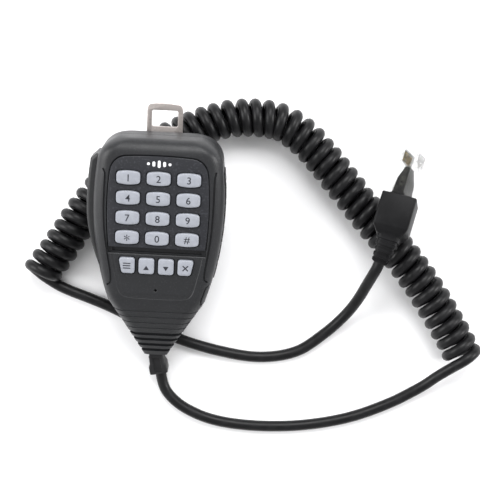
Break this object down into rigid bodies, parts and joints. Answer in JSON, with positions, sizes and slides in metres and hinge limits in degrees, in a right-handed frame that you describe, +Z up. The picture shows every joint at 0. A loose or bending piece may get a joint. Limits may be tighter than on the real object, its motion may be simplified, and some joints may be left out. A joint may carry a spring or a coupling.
{
  "type": "hand microphone",
  "caption": "Handheld two-way radio microphone with a number keypad, a side talk bar, a rear hanger plate and a curly cord ending in a modular plug.",
  "frame": {"origin": "centre of the underside of the microphone itself, cord left out, on the table it lies on", "axes": "+X across the keys towards the side grip, +Y from the cord end to the hanger end, +Z up from the table; the case leans 16 degrees about X, with its hanger end propped up over the cord"},
  "size_m": [0.215, 0.1543, 0.0508],
  "materials": {
    "case_plastic": "fine spark-eroded grain",
    "bar_plastic": "fine spark-eroded grain",
    "panel_plastic": "fine stipple",
    "grip_rubber": "matt, moulded blocks",
    "key_silicone": "satin, translucent",
    "silicone": "satin",
    "board_laminate": "solder resist over glass laminate",
    "chip_resin": "moulded",
    "header_nylon": "moulded",
    "led_resin": "clear resin",
    "capsule_metal": "drawn",
    "gasket_rubber": "soft, matt",
    "pin_steel": "turned",
    "switch_plastic": "moulded",
    "plunger_plastic": "moulded",
    "hanger_steel": "worn satin",
    "screw_steel": "blackened",
    "sleeve_rubber": "satin",
    "boot_rubber": "matt",
    "clear_plastic": "clear moulding, lightly frosted",
    "contact_gold": "gold plated",
    "cord_rubber": "soft sheen"
  },
  "bodies": {
    "housing": {"front_case": "case_plastic", "rear_case": "case_plastic", "keypad_panel": "panel_plastic", "side_grip": "grip_rubber", "keypad_mat": "silicone", "circuit_board": "board_laminate", "controller_chip": "chip_resin", "wire_header": "header_nylon", "backlight_led_1": "led_resin", "backlight_led_2": "led_resin", "backlight_led_3": "led_resin", "backlight_led_4": "led_resin", "mic_capsule": "capsule_metal", "capsule_gasket": "gasket_rubber", "talk_bar_pin": "pin_steel", "talk_switch": "switch_plastic", "hanger_plate": "hanger_steel", "hanger_screw_1": "screw_steel", "hanger_screw_2": "screw_steel", "case_screw_1": "screw_steel", "case_screw_2": "screw_steel", "case_screw_3": "screw_steel", "case_screw_4": "screw_steel", "board_screw_1": "screw_steel", "board_screw_2": "screw_steel", "strain_relief": "sleeve_rubber", "plug_boot": "boot_rubber", "crimp_wedge": "boot_rubber", "plug_shell": "clear_plastic", "plug_contacts": "contact_gold", "mic_lead": "cord_rubber", "cord_coil": "cord_rubber", "plug_lead": "cord_rubber"},
    "key_1": {"key_1": "key_silicone"},
    "key_2": {"key_2": "key_silicone"},
    "key_3": {"key_3": "key_silicone"},
    "key_4": {"key_4": "key_silicone"},
    "key_5": {"key_5": "key_silicone"},
    "key_6": {"key_6": "key_silicone"},
    "key_7": {"key_7": "key_silicone"},
    "key_8": {"key_8": "key_silicone"},
    "key_9": {"key_9": "key_silicone"},
    "key_star": {"key_star": "key_silicone"},
    "key_0": {"key_0": "key_silicone"},
    "key_hash": {"key_hash": "key_silicone"},
    "key_menu": {"key_menu": "key_silicone"},
    "key_up": {"key_up": "key_silicone"},
    "key_down": {"key_down": "key_silicone"},
    "key_exit": {"key_exit": "key_silicone"},
    "talk_bar": {"talk_bar": "bar_plastic"},
    "switch_plunger": {"switch_plunger": "plunger_plastic"},
    "plug_latch": {"plug_latch": "clear_plastic"}
  },
  "joints": [
    {"name": "key_1_press", "type": "slide", "parent": "housing", "child": "key_1", "axis": [0, 0.2756, -0.9613], "range_m": [0, 0.0008], "stiffness_N_per_m": 200},
    {"name": "key_2_press", "type": "slide", "parent": "housing", "child": "key_2", "axis": [0, 0.2756, -0.9613], "range_m": [0, 0.0008], "stiffness_N_per_m": 200},
    {"name": "key_3_press", "type": "slide", "parent": "housing", "child": "key_3", "axis": [0, 0.2756, -0.9613], "range_m": [0, 0.0008], "stiffness_N_per_m": 200},
    {"name": "key_4_press", "type": "slide", "parent": "housing", "child": "key_4", "axis": [0, 0.2756, -0.9613], "range_m": [0, 0.0008], "stiffness_N_per_m": 200},
    {"name": "key_5_press", "type": "slide", "parent": "housing", "child": "key_5", "axis": [0, 0.2756, -0.9613], "range_m": [0, 0.0008], "stiffness_N_per_m": 200},
    {"name": "key_6_press", "type": "slide", "parent": "housing", "child": "key_6", "axis": [0, 0.2756, -0.9613], "range_m": [0, 0.0008], "stiffness_N_per_m": 200},
    {"name": "key_7_press", "type": "slide", "parent": "housing", "child": "key_7", "axis": [0, 0.2756, -0.9613], "range_m": [0, 0.0008], "stiffness_N_per_m": 200},
    {"name": "key_8_press", "type": "slide", "parent": "housing", "child": "key_8", "axis": [0, 0.2756, -0.9613], "range_m": [0, 0.0008], "stiffness_N_per_m": 200},
    {"name": "key_9_press", "type": "slide", "parent": "housing", "child": "key_9", "axis": [0, 0.2756, -0.9613], "range_m": [0, 0.0008], "stiffness_N_per_m": 200},
    {"name": "key_star_press", "type": "slide", "parent": "housing", "child": "key_star", "axis": [0, 0.2756, -0.9613], "range_m": [0, 0.0008], "stiffness_N_per_m": 200},
    {"name": "key_0_press", "type": "slide", "parent": "housing", "child": "key_0", "axis": [0, 0.2756, -0.9613], "range_m": [0, 0.0008], "stiffness_N_per_m": 200},
    {"name": "key_hash_press", "type": "slide", "parent": "housing", "child": "key_hash", "axis": [0, 0.2756, -0.9613], "range_m": [0, 0.0008], "stiffness_N_per_m": 200},
    {"name": "key_menu_press", "type": "slide", "parent": "housing", "child": "key_menu", "axis": [0, 0.2756, -0.9613], "range_m": [0, 0.0008], "stiffness_N_per_m": 200},
    {"name": "key_up_press", "type": "slide", "parent": "housing", "child": "key_up", "axis": [0, 0.2756, -0.9613], "range_m": [0, 0.0008], "stiffness_N_per_m": 200},
    {"name": "key_down_press", "type": "slide", "parent": "housing", "child": "key_down", "axis": [0, 0.2756, -0.9613], "range_m": [0, 0.0008], "stiffness_N_per_m": 200},
    {"name": "key_exit_press", "type": "slide", "parent": "housing", "child": "key_exit", "axis": [0, 0.2756, -0.9613], "range_m": [0, 0.0008], "stiffness_N_per_m": 200},
    {"name": "talk_bar_press", "type": "hinge", "parent": "housing", "child": "talk_bar", "pos_m": [-0.022, -0.00645, 0.02351], "axis": [0, 0.2756, -0.9613], "range_deg": [0, 2.2], "stiffness_Nm_per_rad": 0.5},
    {"name": "switch_plunger_slide", "type": "slide", "parent": "housing", "child": "switch_plunger", "axis": [1, 0, 0], "range_m": [0, 0.0009]},
    {"name": "plug_latch_press", "type": "hinge", "parent": "housing", "child": "plug_latch", "pos_m": [0.11709, 0.04381, 0.02215], "axis": [0.4782, -0.3136, -0.8203], "range_deg": [0, 10], "stiffness_Nm_per_rad": 0.02}
  ],
  "couplings": [
    {"joint": "switch_plunger_slide", "follows": "talk_bar_press", "m_per_rad": 0.0225}
  ]
}
